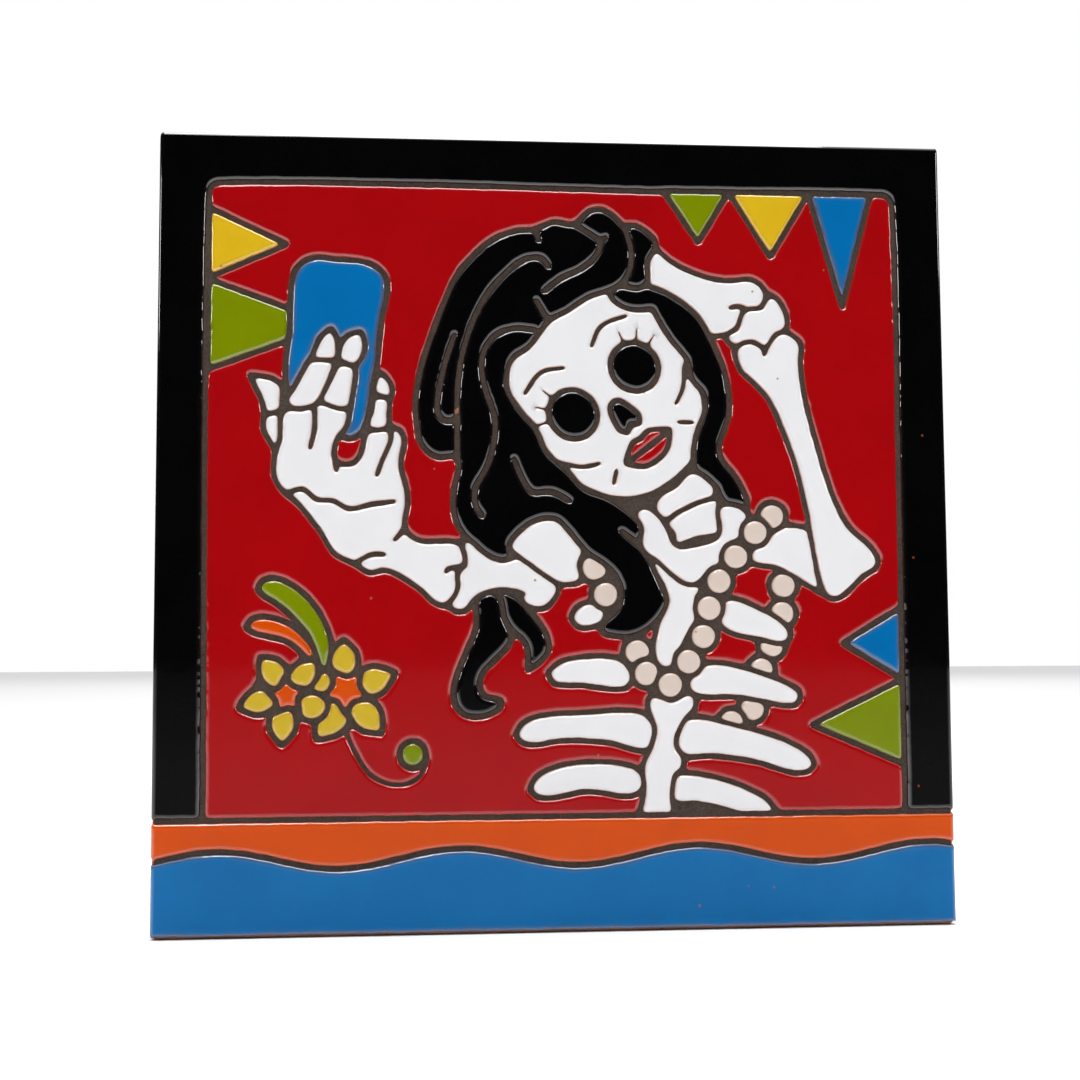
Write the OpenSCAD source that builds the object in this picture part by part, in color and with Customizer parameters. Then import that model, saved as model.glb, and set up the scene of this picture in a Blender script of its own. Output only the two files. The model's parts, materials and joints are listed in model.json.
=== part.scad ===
// Glazed ceramic art tile in the dry-line technique. A square fired clay body carries a drawing in
// dry, unglazed line, and each space between the lines holds its own pool of coloured glass.
// The tile stands upright on its bottom edge and its picture faces -Y.
// Origin: middle of the foot of the tile, half way through its thickness. All lengths in mm.

/* [Tile] */
// Side of the square tile
tile_w = 152; // [150:0.5:154]
// Thickness of the fired clay body
body_t = 6.4; // [5:0.1:10]
// Height of the glaze above the clay
glaze_t = 0.8; // [0.5:0.05:1.2]
// Radius of the tile's four corners
corner_r = 1.2; // [0.5:0.1:3]

/* [Back of the tile] */
// Depth of the pressed hollows that key into the tile adhesive
key_d = 0.8; // [0.4:0.1:1.5]
// Width of the plain rim round the hollows
key_rim = 8; // [5:0.5:15]
// Width of the ribs between the hollows
key_rib = 7; // [4:0.5:10]
// Number of hollows along each side of the back
key_n = 4; // [2:2:6]

/* [Picture] */
// Width of the dry line between two pools of glaze
line_w = 1.25; // [1.1:0.05:1.3]
// Thickness of the dry line, which stays below the glaze
line_t = 0.15; // [0.1:0.05:0.3]
// Parts along a side of the tile that hairline joints divide the line into
line_parts = 4; // [1:1:8]
// Half the width of the thinnest place in a pool
sliver = 0.25; // [0.1:0.05:0.4]
// Air between a pool and the dry line
gap = 0.02; // [0.02:0.01:0.05]
// Bare clay between the glaze and the edge of the tile
edge_bare = 0.3; // [0.2:0.1:1]
// Bare clay between the glaze and the foot of the tile
foot_bare = 0.7; // [0.3:0.1:1.5]

/* [Wave] */
// Height of the middle of the wave above the foot of the tile
wave_z = 14.2; // [12:0.1:16]
// Rise of the wave above its middle
wave_rise = 1.7; // [1:0.1:2.5]
// Length of one wave
wave_len = 45; // [40:1:50]

/* [Beads] */
// Radius of one bead of the necklace
bead_r = 2.2; // [2:0.05:2.4]

/* [Hidden] */

// ---- Curves ---------------------------------------------------------------------------------
// An outline is a closed list of points [x, z] on the face of the tile, from its bottom left corner.
// A smooth curve passes through them; a point with a third value is a sharp corner.

// Longest straight step along a curve
curve_step = 1.9;
// Number of sides of the round end of a stroke
round_n = 8;
// Half the width of the thread that a stroke is drawn with, before it is thickened
thread = 0.01;

function spot(q) = [q.x, q.y];
function unit(v) = norm(v) < 0.001 ? [0, 0] : v / norm(v);
function is_corner(q) = len(q) == 3;

// Direction of the curve at a point between its two neighbours
function heading(before, q, after) = is_corner(q) ? [0, 0] : unit(spot(after) - spot(before));

// Point at share t of the way from a to b, leaving along go and arriving along come
function along(a, b, go, come, t) =
    let (far = norm(b - a))
    a * (2 * t * t * t - 3 * t * t + 1) + go * far * (t * t * t - 2 * t * t + t)
    + b * (3 * t * t - 2 * t * t * t) + come * far * (t * t * t - t * t);

// Points of one stretch of a curve, without its last point
function stretch(before, a, b, after) =
    let (straight = is_corner(a) && is_corner(b))
    let (n = straight ? 1 : max(1, ceil(norm(spot(b) - spot(a)) / curve_step)))
    [for (k = [0:n - 1]) along(spot(a), spot(b), heading(before, a, b), heading(a, b, after), k / n)];

// Closed smooth curve through the points
function closed(p) = [for (i = [0:len(p) - 1]) let (n = len(p))
    each stretch(p[(i + n - 1) % n], p[i], p[(i + 1) % n], p[(i + 2) % n])];

// Open smooth curve through the points
function open(p) = [
    for (i = [0:len(p) - 2])
        each stretch(p[max(i - 1, 0)], p[i], p[i + 1], p[min(i + 2, len(p) - 1)]),
    spot(p[len(p) - 1])
];

// Thin closed outline along an open curve
function hair_thin(p) =
    let (c = open(p), n = len(c))
    let (side = [for (i = [0:n - 1])
        let (d = unit(c[min(i + 1, n - 1)] - c[max(i - 1, 0)])) [-d.y, d.x] * thread])
    concat([for (i = [0:n - 1]) c[i] + side[i]], [for (i = [n - 1:-1:0]) c[i] - side[i]]);

// All points of a list as sharp corners
function corners(p) = [for (q = p) [q.x, q.y, 1]];
// Ellipse about c
function oval(c, rx, rz, n = 12) = [for (k = [0:n - 1]) c + [rx * cos(360 * k / n), rz * sin(360 * k / n)]];
// Star about c with n points
function star(c, r, n, turn) =
    [for (k = [0:2 * n - 1]) let (a = turn + 180 * k / n, s = k % 2 == 0 ? r : 0.56 * r)
        [c.x + s * cos(a), c.y + s * sin(a), 1]];
// Petal about c, w wide, with its tip at t
function petal(c, t, w) =
    let (u = unit(t - c), far = norm(t - c), v = [-u.y, u.x] * w / 2)
    [[t.x, t.y, 1], c + u * far * 0.35 + v * 0.92, c - u * far * 0.3 + v, c - u * far * 0.95 + v * 0.45,
     c - u * far * 0.95 - v * 0.45, c - u * far * 0.3 - v, c + u * far * 0.35 - v * 0.92];

// ---- Frame of the picture -------------------------------------------------------------------
// Middle of the dry line round the red ground
field_left = 9.4;
field_right = 142.5;
field_top = 142.3;
field_foot = 21.6;

function wave(x) = wave_z + wave_rise * cos(360 * (x - 12) / wave_len);

field = [[field_left, field_foot, 1], [field_right, field_foot, 1], [field_right + 0.2, 100, 1],
    [field_right, 140.6], [field_right - 1.6, field_top], [97, field_top - 0.2], [50, field_top + 0.3],
    [11, field_top], [field_left, 141], [field_left - 0.3, 80, 1]];

// Outlines that run off the tile end this far outside it, and are cut off at its edge
beyond = 3;
low = -beyond;
high = tile_w + beyond;
foot_line = foot_bare - line_w / 2;
border = corners([[low, field_foot], [low, high], [high, high], [high, field_foot]]);
wave_line = concat(
    [[low, wave(low), 1]],
    [for (x = [0:3:tile_w]) [x, wave(x)]],
    [[high, wave(high), 1]]
);
orange_band = concat(corners([[high, field_foot], [low, field_foot]]), wave_line);
blue_wave = concat(corners([[high, foot_line], [low, foot_line]]), wave_line);

// ---- Flags ----------------------------------------------------------------------------------
function flag(a, b, c) = corners([a, b, c]);
left_yellow_flag = flag([field_left, 137.4], [24.2, 130.5], [field_left, 123.9]);
left_green_flag = flag([field_left, 123.6], [33, 115], [field_left, 106.2]);
top_green_flag = flag([96.9, field_top], [103.6, 132], [109.8, field_top]);
top_yellow_flag = flag([109.8, field_top], [117.9, 129.4], [125.7, field_top]);
top_blue_flag = flag([125.7, field_top], [132.1, 119.5], [138.2, field_top]);
right_blue_flag = flag([field_right, 60.8], [130.8, 53.9], [field_right, 46.9]);
right_green_flag = flag([field_right, 46.9], [124.4, 38.3], [field_right, 30.6]);

// ---- Flowers --------------------------------------------------------------------------------
green_leaf = [[19.8, 64.5], [21.7, 66.1], [26.3, 64.1], [30, 60], [32.2, 55], [32.5, 49.7, 1],
    [31.4, 49.7, 1], [29.7, 55], [26.3, 59.5], [22.5, 62.7]];
orange_leaf = [[17.8, 57.5], [20, 58.8], [24.7, 57.5], [28.8, 53.8], [29.7, 52.2, 1], [28.7, 51.9, 1],
    [25.6, 55], [20.9, 56.4]];
right_petals = [
    petal([33.2, 40.2], [30.6, 37], 4.6),
    petal([35.3, 51.2], [35.2, 54.3], 4),
    petal([40.8, 47.2], [44.2, 48.5], 4.2),
    petal([39.5, 40.8], [41.9, 38], 4.2),
    petal([31.4, 46.4], [31.8, 48.8], 3.2)
];
left_petals = [
    petal([22.1, 48.9], [20.2, 51.3], 3.7),
    petal([27.8, 48.4], [29.7, 50.6], 3.7),
    petal([24, 39.2], [23.9, 36.1], 3.8),
    petal([19.6, 43.5], [16.6, 42.6], 3.5),
    oval([29.4, 42.5], 2.4, 2.1)
];
flower_centres = [star([24.7, 44.5], 2.5, 5, 95), star([35.7, 45.5], 3.3, 5, -92)];
flower_hearts = [oval([25, 45], 6.4, 4.6), oval([35.3, 44.6], 5.6, 6), oval([31, 51.5], 3.4, 3)];
flower_bud = oval([48.2, 33.4], 1.9, 2);

// ---- Phone and left hand --------------------------------------------------------------------
phone = [[24.3, 102.8], [24.8, 115], [25.5, 125], [28.8, 127.9], [34, 127.7], [40, 127], [43.2, 123.7],
    [42, 115], [41.3, 107], [40.6, 104], [39.9, 98.7], [38.8, 95], [37.2, 93.3], [34.9, 93.4],
    [33, 100, 1], [28, 100, 1]];
index_finger_tip = [[28.8, 108.2, 1], [30.5, 112.5], [32.6, 114.4, 1], [33.8, 112], [33.8, 108.2, 1]];
index_finger_base = [[28.5, 108.3, 1], [33.6, 108.1, 1], [32.4, 104.6], [30.4, 100.2, 1], [29, 99.2],
    [25, 98.9], [24, 100.2], [25.4, 102.4]];
middle_finger_tip = [[33.9, 108.2, 1], [34.4, 111.2], [35.9, 113.1], [38.2, 113.8, 1], [39.1, 111.5],
    [38.4, 108.6], [37, 107, 1]];
middle_finger_base = [[33.9, 107.6, 1], [37.2, 107.2, 1], [37.2, 105], [36.3, 99, 1], [34, 98.9],
    [30.4, 100.3, 1], [32.3, 104]];
ring_finger_tip = [[40.6, 101.8, 1], [41.2, 105.2], [42.2, 105.8], [44.3, 102.9], [43.9, 100.8, 1]];
ring_finger_base = [[39.2, 95.3, 1], [40.4, 98.7], [40.5, 101.3, 1], [43.8, 101, 1], [43.6, 97.5],
    [43.6, 95.2, 1], [41.3, 94.8]];
thumb_tip = [[17.3, 105.2, 1], [21.5, 104.6], [23.5, 103.2, 1], [23.3, 98.4, 1], [20.1, 97.6, 1],
    [19.7, 100.2], [18.5, 102.7]];
thumb_base = [[20.1, 97.6, 1], [23.4, 98.2, 1], [23.5, 95.3], [22.4, 90.6, 1], [21, 92.8], [19.9, 95]];
left_hand_and_forearm = [
    [23.6, 98.5], [27, 98.6], [30.2, 100], [34, 98.9], [36.2, 98.8, 1], [35.6, 95.3], [34.1, 93.7],
    [33.3, 91.2], [33.6, 88.7], [36.9, 88.3], [38.4, 90.6], [39.2, 94.5, 1], [43.6, 95.3], [45.9, 94.8],
    [46.6, 93.1], [45.8, 88.4], [46.9, 83.8], [47.2, 81.3], [46.6, 77.3], [47, 75.3], [49.7, 73.6],
    [53.8, 73.6], [57.4, 73.1], [58.2, 69.6], [56.5, 67.3], [56.8, 65.3], [56.1, 63.1], [54.1, 61.3],
    [52.1, 62], [50, 64.1], [46.3, 66.7], [42.7, 68.2], [40, 67.5], [37.5, 69.2], [33.4, 71.3],
    [30.6, 75.6], [26.9, 80.3], [22.5, 84.7], [22, 89.1], [23.1, 93.1]];

// ---- Left arm and shoulder ------------------------------------------------------------------
left_upper_arm = [
    [57.4, 73.6], [58.6, 74], [61.8, 71.3], [65, 69.8], [68, 70.9], [71.1, 73.1], [74.9, 73.3],
    [76.8, 70.3], [76.1, 66.9], [75.5, 63.1], [72.7, 60.6], [69.3, 61.6], [67.4, 64.1], [63, 64.1],
    [59.7, 62.5], [58, 60.2], [54.8, 61.2], [56.1, 63.1], [56.8, 65.3], [56.5, 67.3], [58.2, 69.6]];
left_shoulder_blade = [
    [68, 70.9], [66.4, 72.5], [68, 75], [71.4, 77.5], [75.5, 77.8], [78.3, 75], [81.1, 71.6, 1],
    [79.7, 69.1], [80.5, 66.2], [77.7, 65.3], [75.5, 65.6]];
hidden_rib = [[78.8, 59], [79.6, 60.5], [82.2, 61.4], [84.4, 59.8], [84, 58.6], [80.3, 57.6]];

// ---- Head -----------------------------------------------------------------------------------
// The head is drawn upright about its own middle, then leaned over and put in its place.
head_at = [85.5, 102];
head_lean = 38;
head_half_w = 17;
chin_half_w = 8.5;
crown_h = 21;
chin_h = -20.5;
eye_h = 1;
eye_apart = 7.6;
nose_h = -5.8;
mouth_h = -12.8;
mouth_half_w = 5.6;

function leaned(q) = [
    head_at.x + q.x * cos(head_lean) - q.y * sin(head_lean),
    head_at.y + q.x * sin(head_lean) + q.y * cos(head_lean),
    each is_corner(q) ? [1] : []];
function on_head(p) = [for (q = p) leaned(q)];
function both_sides(p) = concat(p, [for (i = [len(p) - 1:-1:0]) [-p[i].x, p[i].y]]);

skull = on_head(both_sides([[5, crown_h], [13, crown_h - 4], [head_half_w + 1.5, 8], [head_half_w, -1],
    [head_half_w - 0.8, -7], [head_half_w - 2.5, -12], [chin_half_w + 2, -17.5], [chin_half_w - 4, chin_h]]));
eye_sockets = [for (side = [-1, 1]) on_head(oval([side * eye_apart, eye_h], 4.7, 5, 10))];
nose = on_head([[0, nose_h + 4.2], [2.6, nose_h - 1.2], [1.6, nose_h - 2.6], [0, nose_h - 1.4, 1],
    [-1.6, nose_h - 2.6], [-2.6, nose_h - 1.2]]);
upper_lip = on_head([[-mouth_half_w, mouth_h, 1], [-1.8, mouth_h + 2.6], [0, mouth_h + 2.1],
    [1.8, mouth_h + 2.6], [mouth_half_w, mouth_h, 1], [0, mouth_h - 0.1]]);
lower_lip = on_head([[-mouth_half_w, mouth_h, 1], [0, mouth_h - 0.1], [mouth_half_w, mouth_h, 1],
    [2.8, mouth_h - 2.7], [0, mouth_h - 3.2], [-2.8, mouth_h - 2.7]]);
// Dry, unglazed shade between the head and the hair
head_shade = [[66, 104], [72, 93.5], [80, 84.5], [85, 82], [89, 79.6], [95, 79.9], [98, 83], [102, 86],
    [105.5, 85], [105, 100], [101, 109], [95, 118.5], [86, 121.5], [73, 114.5]];

// Marks on the skull that are strokes of dry line: brows, lashes, cheek bones and jaw
brow = [[3.4, 9.2], [7.5, 11.2], [12.6, 9.8]];
cheek_bone = [[15.6, -4.6], [12.4, -8.2], [9.4, -9.6]];
jaw_mark = [[9.8, -14.4], [7.6, -12.6]];
lash_turns = [20, 48, 76];
lash_reach = 7.6;
function lash(turn) = [for (r = [4.9, lash_reach]) [eye_apart + r * cos(turn), eye_h + r * sin(turn)]];
function flipped(p) = [for (q = p) [-q.x, q.y]];
face_strokes = [for (p = [brow, cheek_bone, jaw_mark]) each [on_head(p), on_head(flipped(p))]];
lash_strokes = [for (turn = lash_turns) each [on_head(lash(turn)), on_head(flipped(lash(turn)))]];

// ---- Hair -----------------------------------------------------------------------------------
main_hair = [
    [48.6, 100], [49.7, 107], [52.7, 116], [55.8, 123.6], [58, 127], [63, 131.8], [68, 133.9],
    [71.8, 134.3], [75.2, 135.8], [79.3, 135.3], [82, 137.9], [85, 138.4], [88.3, 135.9], [89.9, 132.9],
    [90.5, 127.9], [88.6, 123.9], [85.5, 122.2], [82, 121], [78, 118.3], [74.6, 116.5], [73, 114.5],
    [70.5, 111.1], [67.1, 108.6], [66.1, 103.6], [68.3, 99.3], [71.5, 95.5], [73.9, 90.6], [77.7, 87.2],
    [80.8, 83.8], [84.9, 82.3], [88.9, 79.8], [91.6, 77.2], [92.1, 75.3], [91.4, 73.4], [93.6, 69.7],
    [96, 64.5], [96.9, 62], [94.8, 58.3], [91, 55.6], [87.5, 55.3], [83.8, 56.8], [87.4, 60.9],
    [87.7, 65.3], [85.2, 68.8], [81.1, 71.6], [77, 76.6], [73.6, 78.1], [68, 75], [66.4, 72.5],
    [66.8, 70.5], [65, 69.8], [61.8, 71.3], [58.6, 74], [56.4, 77.2], [55.8, 82], [56.6, 89.7],
    [53.1, 89.5], [49.8, 91.9], [48.9, 96]];
back_hair_lock = [[90.1, 134.7], [93.7, 133.1], [94.8, 131.3], [93, 128.4], [93.1, 124.5], [91.4, 123.4],
    [89.6, 123.8, 1], [91, 127.5], [91, 131.5]];
right_hair = [
    [87, 123], [90.8, 123.3], [94, 123.4], [99.6, 120.8], [103.5, 117.4], [106.4, 112], [108.9, 105.2],
    [109.2, 98], [107.3, 92.4], [107.5, 89.9], [110.5, 85.9], [112.6, 81.6], [112.5, 79.2, 1], [108, 81.1],
    [106.6, 84.2], [103.7, 85.9], [102.3, 87.7], [102.6, 93.8], [104.6, 99.1], [104.3, 102.5],
    [102.1, 104.9], [101.2, 108.8], [98.1, 112.7], [95.4, 117], [94.5, 118.9, 1], [90.5, 118.6], [86.5, 120.7]];
long_hair_lock = [
    [60.4, 62.8], [60.2, 57.3], [57.6, 51.1], [55.8, 45.1], [56.9, 41.4], [60.7, 40.3], [64.8, 42],
    [65, 43.4], [61.3, 44.5], [61, 47.9], [64.1, 51.4], [66.9, 54.8], [65.4, 59.2], [64.2, 63.6]];
short_hair_lock = [[64.4, 63.8], [65.4, 59.2], [66.6, 57], [69.8, 53.6], [69.8, 48.9, 1], [73.7, 52],
    [73.5, 55.8], [70.3, 60.4], [68.3, 62.8]];

// Strokes of dry line between the strands of the hair
hair_strokes = [
    [[71.8, 134.3], [72.4, 132]],
    [[74.3, 126.8], [73, 128.6], [69.6, 128.3], [65.2, 124.8], [61.4, 119.8], [58.3, 112.3], [56.8, 104.5],
     [56.6, 96.4], [56.6, 89.7]],
    [[56.1, 113.4], [54.4, 108.3], [53, 102], [52.9, 98], [54.6, 96.5], [56.4, 96.9]],
    [[71.6, 114.5], [67.4, 114.7], [63.9, 113.4], [61.4, 109.2], [61.8, 103.6], [63.9, 96.5], [62.7, 88.8],
     [59.9, 83.4], [60.3, 79.7], [61.4, 78.4]],
    [[73.3, 122], [76.4, 124.5], [80.8, 126.7], [83.8, 129.5], [84.4, 132], [82.7, 133.3], [79.5, 135.3]],
    [[84.4, 132], [85.5, 132.9]],
    [[71.8, 120.4], [73.6, 117.2], [74.4, 116.4]],
    [[67.4, 89.5], [68.9, 85.9], [70.8, 83], [74.6, 83.1], [78.2, 81.3]],
    [[88, 75.6], [91, 73.1], [92.1, 72.2]]
];

// ---- Neck and shoulders ---------------------------------------------------------------------
upper_neck = [[101.8, 86.6], [105.9, 83.8], [105.7, 82.5], [102.3, 81.5], [97.5, 78.3], [95.7, 78.4],
    [95.3, 81.3], [99.4, 84.1]];
lower_neck = [[97.3, 77], [103, 80.4], [106.6, 81.4, 1], [106.2, 79.1], [106.6, 75.4, 1], [102.3, 74.7],
    [98.9, 73.4, 1], [98.7, 75.6]];
left_collarbone = [
    [91.4, 79.1], [93.4, 79.4], [96.2, 76.3], [98, 72.4], [100.9, 72], [107.3, 74], [107.8, 77],
    [107.6, 80], [112.3, 78.6], [110.9, 74.5], [108.7, 73.8], [106.8, 69.5], [104.4, 68.1], [102.3, 65.9],
    [99.8, 66.3], [95.1, 70.4], [92.3, 72.4], [92.6, 74.9]];
right_collarbone = [[113.7, 71.3], [117.5, 74.5], [120.1, 76.1], [124.1, 75.6, 1], [124.8, 71.6], [126, 64.7, 1],
    [121.2, 67.7], [118.4, 69.1], [113.5, 70]];

// ---- Right arm ------------------------------------------------------------------------------
right_upper_arm = [
    [111, 111.6], [114.2, 112.7], [116.7, 110.9, 1], [118.9, 114.3], [120.6, 114.7], [123.7, 112.4],
    [123.5, 108.4], [124.3, 101.5], [126.6, 92], [129.4, 82.7], [132.6, 76.3], [136.6, 72.7], [138.2, 69.1],
    [135.1, 66.8], [131.2, 63.1], [129.4, 62.4], [127.6, 63.2], [125.9, 69.1], [124.4, 78.4], [122.6, 87],
    [120.1, 94.5], [117.1, 101.3], [113.9, 104.9], [111.9, 106.6], [110.8, 109.3]];
right_elbow = [[108.7, 113.8], [111, 111.4], [114.2, 112.5], [116.7, 110.9, 1], [118.9, 114.2], [120.8, 115],
    [120.8, 118.4], [117.8, 122], [116, 119.3], [112.8, 119], [111, 115]];
right_forearm = [
    [94.8, 130.6], [98.1, 128.3], [103.1, 125.9], [108.9, 124.6], [114.2, 124.9], [116.9, 122.5],
    [116, 119.3], [112.8, 119], [112.3, 116.6], [109.2, 114.1], [104.5, 113.5, 1], [95, 119, 1], [91, 124, 1],
    [93.6, 127.9]];

// ---- Rib cage -------------------------------------------------------------------------------
upper_breastbone = [
    [95, 69.3], [98.5, 66], [103, 64.8], [101.8, 63], [101.9, 58.6], [100.5, 56.4], [98.8, 52.9],
    [97.3, 49.8], [95.7, 49.8], [94.6, 51.7], [95.4, 57.3], [97.4, 62], [96.5, 65.5]];
lower_breastbone = [
    [93.5, 41.7], [93.8, 43.6], [97.3, 42.4], [101.1, 43.9], [101.3, 41.7], [99.8, 40.4], [97.7, 36.4],
    [97.7, 33.9], [99.1, 32], [98.8, 30.3], [97.6, 29.8], [96.6, 24.8], [97.6, 20, 1], [91, 20, 1],
    [92.6, 25.8], [92.3, 30.8], [93.5, 33.1], [94.8, 37.6]];
left_rib_1 = [[74.4, 48.4], [77.6, 50.5], [86.6, 50.8], [89.1, 48.6], [88.5, 46.1], [80.4, 46.8], [75.1, 47.1]];
left_rib_2 = [[68.2, 37], [71, 39.5], [81, 40.4], [91.3, 40.4], [93.8, 37.3], [92.9, 34.3], [85.4, 35.9],
    [76, 36.4], [70.5, 35.6]];
left_rib_3 = [[70.9, 26.7], [73.8, 29.7], [81.6, 31.1], [89.8, 30.1], [91.5, 27.6], [89.4, 25.8], [81, 26.8],
    [73.5, 25.6]];
right_rib_1 = [[107.9, 61.8], [114, 60.3], [119.7, 56.7], [119.7, 54.6], [115, 55.3], [107.7, 57.5]];
right_rib_2 = [[101.3, 46.8], [104.3, 49.6], [112, 48.5], [121.7, 44.5], [121, 42.6], [110.7, 44.3],
    [101.7, 44.8]];
right_rib_3 = [[100.5, 39.2], [109.7, 37.7], [120.3, 34.3], [124.3, 30.8], [121.3, 29.8], [113.7, 32],
    [104.7, 33.3], [99.5, 33.2], [98.8, 35.5]];
right_rib_4 = [[98.7, 28.8], [107.7, 27.3], [115.3, 23.7], [117.5, 20, 1], [113, 21, 1], [108.7, 22.8],
    [102, 24.3], [97.6, 24.6], [97.4, 26.8]];
// Dry, unglazed shade under the lowest rib
rib_shade = [[96.5, 25.5], [103, 25], [110, 23.4], [116, 20.5], [112, 21, 1], [97, 21, 1]];

// ---- Beads ----------------------------------------------------------------------------------
front_bead_spots = [[117.4, 78.4], [90.9, 52.4], [92.6, 48.3], [97.2, 46.1], [100.8, 50.5], [103.7, 55.3],
    [104.9, 60.7], [106.9, 65.9], [110.2, 70.6], [114.1, 75.3]];
left_bead_spots = [[82.8, 68.5], [84.9, 63.4]];
back_bead_spots = [[119.4, 65], [119.1, 59.6], [117, 53.6], [114.8, 48.8], [113, 41.5], [108.9, 38.8]];
function beads(spots) = [for (c = spots) oval(c, bead_r, bead_r)];

// ---- Other strokes of dry line --------------------------------------------------------------
bone_strokes = [
    [[29.6, 98.5], [29.5, 94.5], [28.7, 91.3]],
    [[33.4, 89.1], [33.75, 87]],
    [[43.9, 94.7], [44, 92.8], [42.5, 89.4], [41.3, 86.1]],
    [[24.7, 82.8], [27.5, 83.6], [30, 81.4], [33.1, 81.4], [35.9, 79.7], [40.3, 80.6], [44.7, 81.2]],
    [[46.6, 76.3], [45.6, 74.7], [44.7, 73.8]],
    [[37.7, 69.7], [40.3, 71.1], [42.8, 71.1]],
    [[58.2, 68.9], [54.7, 68.4], [54.4, 67.7]],
    [[67.4, 64.1], [69.3, 63.5]],
    [[59.7, 62.5], [59.6, 61.3]],
    [[112.8, 119], [111.7, 119.7], [109.8, 119.3]],
    [[116.7, 110.9], [116.4, 110]]
];
stem = [[35.5, 38.5], [37.2, 34.4], [40.3, 29.7], [45, 27.8], [49.4, 29.1], [51, 32.8]];
brow_w = 1.1;
lash_w = 0.55;
stem_w = 0.95;

// Every stroke inside the picture, as [width, points]
STROKES = concat(
    [for (p = hair_strokes) [line_w, p]],
    [for (p = bone_strokes) [line_w, p]],
    [for (p = face_strokes) [brow_w, p]],
    [for (p = lash_strokes) [lash_w, p]],
    [[stem_w, stem]]
);

// ---- Order of the picture -------------------------------------------------------------------
// From the back to the front, each piece as [name, how far its outlines stand inside the dry
// line, its outlines]. BARE places stay without glaze.
MID = 0;
RIM = line_w / 2;
BARE = "bare";
PICTURE = [
    ["border_glaze", MID, [border]],
    ["red_ground_glaze", MID, [field]],
    ["left_yellow_flag", MID, [left_yellow_flag]],
    ["left_green_flag", MID, [left_green_flag]],
    ["top_green_flag", MID, [top_green_flag]],
    ["top_yellow_flag", MID, [top_yellow_flag]],
    ["top_blue_flag", MID, [top_blue_flag]],
    ["right_blue_flag", MID, [right_blue_flag]],
    ["right_green_flag", MID, [right_green_flag]],
    [BARE, MID, flower_hearts],
    ["orange_leaf", RIM, [orange_leaf]],
    ["green_leaf", RIM, [green_leaf]],
    ["right_petals", RIM, right_petals],
    ["left_petals", RIM, left_petals],
    ["flower_centres", RIM, flower_centres],
    ["flower_bud", RIM, [flower_bud]],
    ["phone", MID, [phone]],
    ["thumb_tip", MID, [thumb_tip]],
    ["thumb_base", MID, [thumb_base]],
    ["left_hand_and_forearm", MID, [left_hand_and_forearm]],
    ["index_finger_base", MID, [index_finger_base]],
    ["index_finger_tip", MID, [index_finger_tip]],
    ["middle_finger_base", MID, [middle_finger_base]],
    ["middle_finger_tip", MID, [middle_finger_tip]],
    ["ring_finger_base", MID, [ring_finger_base]],
    ["ring_finger_tip", MID, [ring_finger_tip]],
    ["hidden_rib", RIM, [hidden_rib]],
    ["left_beads", RIM, beads(left_bead_spots)],
    ["back_beads", RIM, beads(back_bead_spots)],
    ["left_rib_1", RIM, [left_rib_1]],
    ["left_rib_2", RIM, [left_rib_2]],
    ["left_rib_3", RIM, [left_rib_3]],
    ["right_rib_1", RIM, [right_rib_1]],
    ["right_rib_2", RIM, [right_rib_2]],
    ["right_rib_3", RIM, [right_rib_3]],
    [BARE, MID, [rib_shade]],
    ["right_rib_4", RIM, [right_rib_4]],
    [BARE, MID, [head_shade]],
    ["skull", MID, [skull]],
    ["eye_sockets", MID, eye_sockets],
    ["nose", MID, [nose]],
    ["lips", MID, [upper_lip, lower_lip]],
    ["right_forearm", MID, [right_forearm]],
    ["right_elbow", MID, [right_elbow]],
    ["right_upper_arm", MID, [right_upper_arm]],
    ["right_hair", MID, [right_hair]],
    ["back_hair_lock", RIM, [back_hair_lock]],
    ["upper_breastbone", RIM, [upper_breastbone]],
    ["lower_breastbone", RIM, [lower_breastbone]],
    ["upper_neck", RIM, [upper_neck]],
    ["lower_neck", RIM, [lower_neck]],
    ["left_collarbone", RIM, [left_collarbone]],
    ["right_collarbone", RIM, [right_collarbone]],
    ["short_hair_lock", MID, [short_hair_lock]],
    ["long_hair_lock", MID, [long_hair_lock]],
    ["main_hair", MID, [main_hair]],
    ["left_upper_arm", MID, [left_upper_arm]],
    ["left_shoulder_blade", MID, [left_shoulder_blade]],
    ["front_beads", RIM, beads(front_bead_spots)],
    ["orange_band_glaze", MID, [orange_band]],
    ["blue_wave_glaze", MID, [blue_wave]]
];

// Clay face that carries the glaze
face_y = glaze_t - (body_t + glaze_t) / 2;
back_y = (body_t + glaze_t) / 2;

// ---- Flat shapes of the picture -------------------------------------------------------------
// One outline of a piece, out to the middle of the dry line round it
module cell(piece, outline) {
    offset(delta = piece[1]) polygon(closed(outline));
}

// All the cells in front of a piece
module in_front(index) {
    for (i = [index + 1:1:len(PICTURE) - 1])
        for (outline = PICTURE[i][2])
            cell(PICTURE[i], outline);
}

// One pool of a piece: its cell less all that is in front, back from the middle of the line
module pool(index, k) {
    piece = PICTURE[index];
    offset(r = -line_w / 2 - sliver, $fn = round_n)
        difference() {
            cell(piece, piece[2][k]);
            for (j = [k + 1:1:len(piece[2]) - 1])
                cell(piece, piece[2][j]);
            in_front(index);
        }
}

// The strokes of dry line inside the pools, with room for the rounding of the pools
module strokes() {
    for (stroke = STROKES)
        offset(r = stroke[0] / 2 + sliver, $fn = round_n) polygon(hair_thin(stroke[1]));
}

// All pools of one piece
module pools(name) {
    index = search([name], PICTURE)[0];
    offset(delta = sliver)
        difference() {
            intersection() {
                tile_face(edge_bare + sliver);
                for (k = [0:len(PICTURE[index][2]) - 1])
                    pool(index, k);
            }
            strokes();
        }
}

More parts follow.
